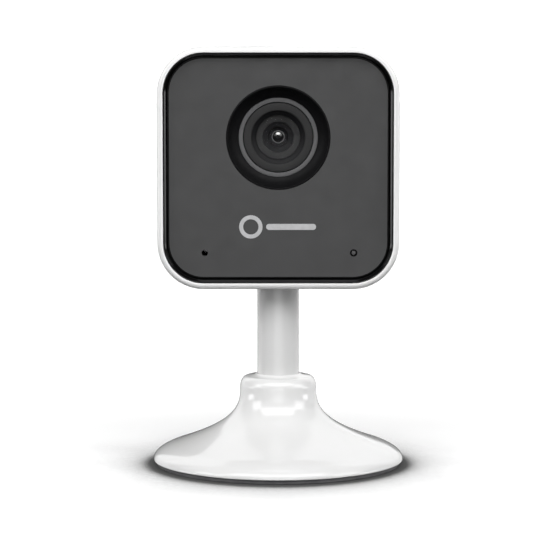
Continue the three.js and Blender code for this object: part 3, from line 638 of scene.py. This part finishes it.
def rear_shell():
    """The white tray that makes the head's sides, back and front rim."""
    lip = HEAD_HALF - PANEL_HALF
    ledge = PANEL_BACK + 0.1 * MM
    edge = 0.1 * MM
    flat = 0.25 * MM
    round_width, round_depth = lip - edge - flat, 1.4 * MM
    inner_edge = REAR_EDGE - WALL
    turn = WALL + inner_edge
    profile = [(turn, BACK - WALL)]
    profile += arc((turn, BACK - turn), (inner_edge, inner_edge), 90, 180, 8)[1:]
    profile += [(WALL, ledge), (lip, ledge), (lip, FRONT + edge)]
    profile += arc((lip - edge, FRONT + edge), (edge, edge), 0, -90, 4)[1:]
    profile += arc((round_width, FRONT + round_depth), (round_width, round_depth), -90, -180, 12)
    profile += arc((REAR_EDGE, BACK - REAR_EDGE), (REAR_EDGE, REAR_EDGE), 180, 90, 16)
    shell = swept_square("rear_shell_fine", profile, HEAD_HALF, HEAD_CORNER, HEAD_CENTRE)

    inside = BACK - WALL - MM
    tools = [tilt_slot_tool()]
    speaker = middle("speaker")
    for row in (-1, 0, 1):
        for column in (-2, -1, 0, 1, 2):
            place = (column * GRILLE_PITCH, 0, speaker.z + row * GRILLE_PITCH)
            tools.append(drill("grille_tool", GRILLE_HOLE, inside, BACK, place, 0.12 * MM, 24))
    button = middle("reset_button")
    button_hole = BUTTON_RADIUS + 0.15 * MM
    tools.append(drill("button_tool", button_hole, inside, BACK, (button.x, 0, button.z), 0.2 * MM))
    inlet = middle("power_inlet")
    hole = pill(8.6 * MM, 3.6 * MM, 1.2 * MM, (inlet.x, inlet.z))
    recess = pill(9.4 * MM, 4.4 * MM, 1.6 * MM, (inlet.x, inlet.z))
    tools.append(plate("inlet_tool", hole, inside, BACK + MM))
    tools.append(plate("inlet_recess_tool", recess, BACK - 0.35 * MM, BACK + MM))
    carve(shell, *tools)
    round_slot_edge(shell)
    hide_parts("rear_shell")
    return finish(shell, "head", "white_gloss", SHELL_WHITE)


rear_shell()

# ------------------------------------------------------------------ head: front panel


def front_panel():
    """The dark panel: a raised edge, a polished wall, a deep V groove, and the face."""
    e, f = PANEL_EDGE / MM, PANEL_FACE / MM
    edge, foot, fillet = 0.1, 1.36, 0.07  # foot is the inset where the face begins
    profile = [(0.2, PANEL_BACK / MM), (0.2, e + edge)]
    profile += arc((0.2 + edge, e + edge), (edge, edge), 180, 300, 5)[1:]
    profile += bezier((0.38, e + 0.06), (0.5, e + 0.17), (0.75, e + 0.42), (0.86, e + 0.55), 6)
    profile += [(0.96, f - 0.3), (1.14, f + 0.9), (1.18, f + 0.9), (foot, f + fillet)]
    profile += arc((foot + fillet, f + fillet), (fillet, fillet), 180, 270, 3)[1:]
    panel = swept_square("front_panel_fine", in_mm(profile), PANEL_HALF, PANEL_CORNER, HEAD_CENTRE)

    behind = PANEL_BACK + MM
    mic, light = middle("microphone_boot"), middle("light_pipe")
    carve(
        panel,
        drill("lens_tool", RECESS_RADIUS + 0.02 * MM, behind, PANEL_FACE, LENS_CENTRE, 0.08 * MM, 192),
        drill("mic_tool", 0.75 * MM, behind, PANEL_FACE, (mic.x, 0, mic.z), 0.06 * MM),
        drill("light_tool", 0.9 * MM, behind, PANEL_FACE, (light.x, 0, light.z), 0.03 * MM),
    )

    def on_face(face):
        across = abs(face.center.x - HEAD_CENTRE.x)
        up = abs(face.center.z - HEAD_CENTRE.z)
        level = abs(face.normal.y) > 0.99 and abs(face.center.y - PANEL_FACE) < 0.01 * MM
        return level and max(across, up) < PANEL_HALF - foot * MM

    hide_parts("front_panel")
    finish(panel, "head", "panel_grey", PANEL_WALL_PAINT, PANEL_FACE_PAINT)
    repaint(panel, 1, on_face)


def printed_mark():
    """A plain mark below the lens: a ring and a bar, printed in light grey."""
    height = HEAD_CENTRE.z - 14.6 * MM
    surface = PANEL_FACE - 0.02 * MM
    inner, outer = 1.9 * MM, 2.9 * MM
    section = [(inner, surface), (outer, surface), (outer, PANEL_FACE), (inner, PANEL_FACE)]
    ring = turned("printed_ring", section, "Y", (-6.8 * MM, 0, height), 96)
    outline = pill(12.4 * MM, 1.5 * MM, 0.75 * MM, (3.2 * MM, height))
    bar = plate("printed_bar", outline, surface, PANEL_FACE)
    for piece in (ring, bar):
        finish(piece, "head", "ring_grey", MARK_INK)


front_panel()
printed_mark()

# ------------------------------------------------------------------ head: lens


def lens_cone():
    """The black recess, from the panel's face down to the lens ring."""
    r, ring = RECESS_RADIUS, RING_RADIUS + 0.12 * MM
    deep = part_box("lens_cone")[1].y
    seat = PANEL_BACK + 0.1 * MM
    flange = r + 1.6 * MM
    lip = 0.22 * MM
    lip_centre = (r - lip, PANEL_FACE + lip / 2)
    profile = [(r, seat), (r, lip_centre[1])]
    profile += arc(lip_centre, (lip, lip), 0, -90, 5)[1:]
    profile += arc(lip_centre, (lip, lip), -90, -150, 4)[1:]
    profile += bezier((r - 2 * lip, PANEL_FACE + 0.1 * MM), (r - 1.1 * MM, PANEL_FACE + 1.2 * MM),
                      (ring + 1.2 * MM, deep - 0.9 * MM), (ring, deep - 0.55 * MM), 12)
    profile += [(ring, deep), (flange, deep), (flange, seat)]
    obj = turned("lens_cone_fine", profile, "Y", LENS_CENTRE, 192)
    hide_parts("lens_cone")
    return finish(obj, "head", "black_plastic", BLACK_GLOSS)


def lens_ring():
    """The thin grey ring between the recess and the barrel."""
    r, front = RING_RADIUS + 0.08 * MM, LENS_LOW.y
    inner = 8.8 * MM
    edge = 0.08 * MM
    profile = [(inner, LENS_HIGH.y), (inner, front + edge)]
    profile += arc((inner + edge, front + edge), (edge, edge), 180, 270, 3)[1:]
    profile += arc((r - edge, front + edge), (edge, edge), 270, 360, 4)
    profile += [(r, LENS_HIGH.y)]
    obj = turned("lens_ring_fine", profile, "Y", LENS_CENTRE, 192)
    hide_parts("lens_ring")
    return finish(obj, "head", "ring_grey", RING_GREY)


def lens_barrel():
    """The barrel's front: a flat ring, then a dark step down to the glass."""
    low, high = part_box("lens_barrel")
    r, front = (high.x - low.x) / 2 / MM, low.y / MM
    back = high.y / MM - 5.4
    edge, ring, bore, thread = 0.08, 6.7, 5.5, 6.9
    profile = [(r, back), (r, front + edge)]
    profile += arc((r - edge, front + edge), (edge, edge), 0, -90, 3)[1:]
    profile += arc((ring + edge, front + edge), (edge, edge), -90, -180, 3)
    profile += [(ring - 0.05, front + 0.45), (6.1, front + 0.62), (bore, front + 1.1),
                (bore, front + 3.2), (thread, front + 3.2), (thread, back)]
    obj = turned("lens_barrel_fine", in_mm(profile), "Y", LENS_CENTRE, 192)
    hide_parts("lens_barrel")
    finish(obj, "head", "barrel_black", BARREL_GREY, BARREL_BLACK)
    repaint(obj, 1, lambda face: off_axis(face) < (ring - 0.02) * MM)


def lens_baffle():
    """The stepped rings behind the front glass, down to a shallow dish round the pupil."""
    front = -5.1
    steps = [(5.3, front), (3.85, front + 0.25), (3.8, front + 0.75), (2.6, front + 1.1),
             (2.55, front + 1.6)]
    dish = [(2.3, front + 1.85), (1.95, front + 2.0), (1.6, front + 2.08)]
    pupil_rim = [(1.58, front + 1.98), (1.49, front + 1.95), (1.41, front + 1.98), (1.4, front + 2.3)]
    back = [(1.4, front + 3.1), (5.45, front + 3.1), (5.45, front)]
    obj = turned("lens_baffle", in_mm(steps + dish + pupil_rim + back), "Y", LENS_CENTRE, 128)
    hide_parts("aperture_ring")
    finish(obj, "head", "black_plastic", BARREL_BLACK, BARREL_GREY, BUTTON_GREY)
    repaint(obj, 1, lambda face: 3.82 * MM < off_axis(face) < 5.4 * MM)
    repaint(obj, 2, lambda face: 1.41 * MM < off_axis(face) < 1.59 * MM)


def front_glass():
    """The outermost lens: a shallow meniscus."""
    radius, steps = 5.35, 20
    front, front_rise = -5.75, 1.1
    back, back_rise = -5.3, 0.75
    shares = [i / steps for i in range(steps + 1)]
    profile = [(radius * share, front - front_rise * (1 - share ** 2)) for share in shares]
    profile += [(radius * share, back - back_rise * (1 - share ** 2)) for share in reversed(shares)]
    obj = turned("front_glass", in_mm(profile), "Y", LENS_CENTRE, 96)
    obj.visible_shadow = False
    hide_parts("front_lens")
    return finish(obj, "head", "lens_glass", LENS_GLASS)


def pupil():
    """The small inner lens: a cone-shaped face round a matt black opening."""
    profile = [(0, -2.75), (0.5, -2.75), (0.55, -2.8), (1.38, -2.51), (1.38, -2.1), (0, -2.1)]
    obj = turned("pupil", in_mm(profile), "Y", LENS_CENTRE, 96)
    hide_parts("middle_lens")
    finish(obj, "head", "lens_glass", PUPIL_GLASS, BARREL_BLACK)
    repaint(obj, 1, lambda face: off_axis(face) < 0.53 * MM)


lens_cone()
lens_ring()
lens_barrel()
lens_baffle()
front_glass()
pupil()

# ------------------------------------------------------------------ head: small pieces


def light_pipe():
    """The status light's clear pin. Behind its front it is coloured black, as painted shade that
    darkens the gap round the pin.
    """
    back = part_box("light_pipe")[1].y
    centre = middle("light_pipe")
    pin, flange = 0.52 * MM, 1.1 * MM
    front = PANEL_FACE + 0.02 * MM
    shoulder = PANEL_BACK + 0.2 * MM
    edge = 0.1 * MM
    profile = [(0, front), (pin - edge, front)]
    profile += arc((pin - edge, front + edge), (edge, edge), -90, 0, 3)[1:]
    profile += [(pin, shoulder), (flange, shoulder), (flange, back), (0, back)]
    obj = turned("light_pipe_fine", profile, "Y", (centre.x, 0, centre.z), 48)
    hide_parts("light_pipe")
    finish(obj, "head", "clear_plastic", PIPE_CLEAR, COVER_BLACK)
    # painted shade: the pin's sides and flange behind the face are coloured black, so the gap round
    # the pin reads dark
    repaint(obj, 1, lambda face: face.center.y > PANEL_FACE + 0.1 * MM)


def reset_button():
    """The button in the back, with a shallow dish for a fingertip."""
    low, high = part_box("reset_button")
    centre = middle("reset_button")
    r, flange = BUTTON_RADIUS, 2.3 * MM
    shoulder = low.y + 0.9 * MM
    edge = 0.3 * MM
    profile = [(0, low.y), (flange, low.y), (flange, shoulder), (r, shoulder), (r, high.y - edge)]
    profile += arc((r - edge, high.y - edge), (edge, edge), 0, 90, 5)[1:]
    profile += [(0.8 * MM, high.y - 0.06 * MM), (0, high.y - 0.12 * MM)]
    obj = turned("reset_button_fine", profile, "Y", (centre.x, 0, centre.z), 64)
    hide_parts("reset_button")
    return finish(obj, "button", "panel_grey", BUTTON_GREY)


def power_inlet():
    """A thin folded steel can round a black tongue with five gilt contacts."""
    low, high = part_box("power_inlet")
    x, z = middle("power_inlet").x, middle("power_inlet").z
    outside = pill(7.8 * MM, 2.9 * MM, 0.9 * MM, (x, z))
    mouth = pill(7.2 * MM, 2.3 * MM, 0.65 * MM, (x, z))
    can = plate("power_inlet_can", outside, low.y, high.y, 0.06 * MM)
    carve(can, plate("inlet_mouth_tool", mouth, low.y + MM, high.y + MM))
    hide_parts("power_inlet")
    finish(can, "head", "zinc_steel", BRIGHT_STEEL)

    section = pill(4.4 * MM, 0.6 * MM, 0.1 * MM, (x, z + 0.2 * MM), 2)
    tongue = plate("power_inlet_tongue", section, low.y + 0.9 * MM, high.y - 0.7 * MM, 0.05 * MM)
    finish(tongue, "head", "chip_black", CHIP_BLACK)

    contact_pitch = 0.65 * MM
    for number in range(1, 6):
        place = (x + (number - 3) * contact_pitch, z - 0.13 * MM)
        section = pill(0.3 * MM, 0.08 * MM, 0.03 * MM, place, 2)
        contact = plate(f"power_contact_{number}", section, low.y + 1.2 * MM, high.y - 0.9 * MM)
        finish(contact, "head", "zinc_steel", GOLD)


light_pipe()
reset_button()
power_inlet()

# ------------------------------------------------------------------ carried-over CAD nodes

SLOT_PAINTS = {
    "white_gloss": SHELL_WHITE,
    "panel_grey": PANEL_FACE_PAINT,
    "black_plastic": COVER_BLACK,
    "ring_grey": RING_GREY,
    "barrel_black": BARREL_BLACK,
    "lens_glass": LENS_GLASS,
    "filter_glass": FILTER_GLASS,
    "pad_rubber": PAD_RUBBER,
    "seal_rubber": SEAL_RUBBER,
    "steel": STEEL,
    "zinc_steel": BRIGHT_STEEL,
    "aluminium": ALUMINIUM,
    "board_green": BOARD_GREEN,
    "chip_black": CHIP_BLACK,
    "acetal": ACETAL,
    "clear_plastic": PIPE_CLEAR,
}

for subpart in frame["record"]["subparts"]:
    node = frame["nodes"][subpart["node"]]
    node.data.materials.clear()
    node.data.materials.append(SLOT_PAINTS[subpart["material_slot"]])

# ------------------------------------------------------------------ stage, light, camera

STAGE_RADIUS = 3.5
STAGE_HEIGHT = 3
STAGE_THICKNESS = 0.01
STAGE_SIDES = 96


def stage():
    """A pale floor, and a white wall all round it. Both are seen only by the camera, so that
    what the object reflects comes from the studio lights."""
    near, far, low = STAGE_RADIUS, STAGE_RADIUS + STAGE_THICKNESS, -STAGE_THICKNESS
    slab = [(0, low), (near, low), (near, 0), (0, 0)]
    floor = turned("studio_floor", slab, sides=STAGE_SIDES)
    floor.data.materials.append(floor_paint())
    section = [(near, low), (far, low), (far, STAGE_HEIGHT), (near, STAGE_HEIGHT)]
    wall = turned("studio_wall", section, sides=STAGE_SIDES)
    wall.data.materials.append(wall_paint())
    for piece in (floor, wall):
        piece.visible_diffuse = False
        piece.visible_glossy = False
        piece.visible_transmission = False
        piece.visible_shadow = False


# Each studio light: its bearings from the camera's side (to the right is positive) and its
# heights above the horizon, the softness of its edge, all in degrees, and its brightness.
STUDIO_LIGHTS = (
    ((-54, 54), (29, 58), 4, 3.9),  # the main light, above the camera
    ((-50, 50), (8, 28), 4, 0.35),  # a dim band under it
    ((52, 82), (7, 33), 3, 3.6),  # a panel at each side
    ((-82, -52), (7, 33), 3, 3.6),
    ((-16, 16), (-5, 10), 4, 2.0),  # low light from beside the camera
    ((-26, 26), (-16, -5), 3, 1.0),
    ((79, 101), (-5, 3), 1.5, 4.6),  # a strip at each side, level with the object
    ((-101, -79), (-5, 3), 1.5, 4.6),
    ((125, 190), (8, 57), 1.5, 1.1),  # behind the object, above
    ((-158, -125), (8, 57), 1.5, 1.1),
    ((-190, -158), (33, 57), 1.5, 1.1),
    ((105, 165), (-20, 8), 2, 0.9),  # behind the object, low
    ((-158, -105), (-20, 8), 2, 1.0),
    ((-190, 190), (81, 100), 2, 1.1),  # overhead
)
AMBIENT_ABOVE = 0.04
AMBIENT_BELOW = 0.02


def studio_world():
    """Large soft lights round and above the object, as a world whose brightness depends on
    the direction."""
    world = bpy.data.worlds.new("studio_world")
    world.use_nodes = True
    nodes, links = world.node_tree.nodes, world.node_tree.links

    def connect(value, socket):
        if isinstance(value, (int, float)):
            socket.default_value = value
        else:
            links.new(value, socket)

    def maths(operation, *values):
        node = nodes.new("ShaderNodeMath")
        node.operation = operation
        for value, socket in zip(values, node.inputs):
            connect(value, socket)
        return node.outputs["Value"]

    def step(value, dark, bright):
        """0 where value is dark and 1 where it is bright, with a smooth change between."""
        node = nodes.new("ShaderNodeMapRange")
        node.interpolation_type = "SMOOTHSTEP"
        for socket, item in zip(("Value", "From Min", "From Max"), (value, dark, bright)):
            connect(item, node.inputs[socket])
        return node.outputs["Result"]

    def band(value, limits, edge):
        low, high = limits
        rising = step(value, math.radians(low - edge), math.radians(low + edge))
        falling = step(value, math.radians(high + edge), math.radians(high - edge))
        return maths("MULTIPLY", rising, falling)

    split = nodes.new("ShaderNodeSeparateXYZ")
    links.new(nodes.new("ShaderNodeTexCoord").outputs["Generated"], split.inputs["Vector"])
    x, y, z = split.outputs
    bearing = maths("ARCTAN2", x, maths("MULTIPLY", y, -1.0))
    height = maths("ARCSINE", z)

    horizon = math.radians(10)
    lower = step(height, horizon, -horizon)
    total = maths("MULTIPLY_ADD", lower, AMBIENT_BELOW - AMBIENT_ABOVE, AMBIENT_ABOVE)
    for bearings, heights, edge, brightness in STUDIO_LIGHTS:
        light = maths("MULTIPLY", band(bearing, bearings, edge), band(height, heights, edge))
        total = maths("MULTIPLY_ADD", light, brightness, total)
    links.new(total, nodes["Background"].inputs["Strength"])
    nodes["Background"].inputs["Color"].default_value = (1, 1, 1, 1)
    bpy.context.scene.world = world


CAMERA_DISTANCE = 0.6035
CAMERA_HEIGHT = 0.1074
CAMERA_SIDE = -0.0008
AIM_HEIGHT = 0.04805
LENS_MM = 157
SENSOR_MM = 36


def camera():
    data = bpy.data.cameras.new("camera")
    data.sensor_width = SENSOR_MM
    data.lens = LENS_MM
    data.clip_start = 0.01
    obj = bpy.data.objects.new("camera", data)
    place = Vector((CAMERA_SIDE, -CAMERA_DISTANCE, CAMERA_HEIGHT))
    aim = Vector((CAMERA_SIDE, 0, AIM_HEIGHT)) - place
    obj.location = place
    obj.rotation_euler = aim.to_track_quat("-Z", "Y").to_euler()
    bpy.context.scene.collection.objects.link(obj)
    bpy.context.scene.camera = obj


stage()
studio_world()
camera()
bpy.context.scene.view_settings.view_transform = "Standard"
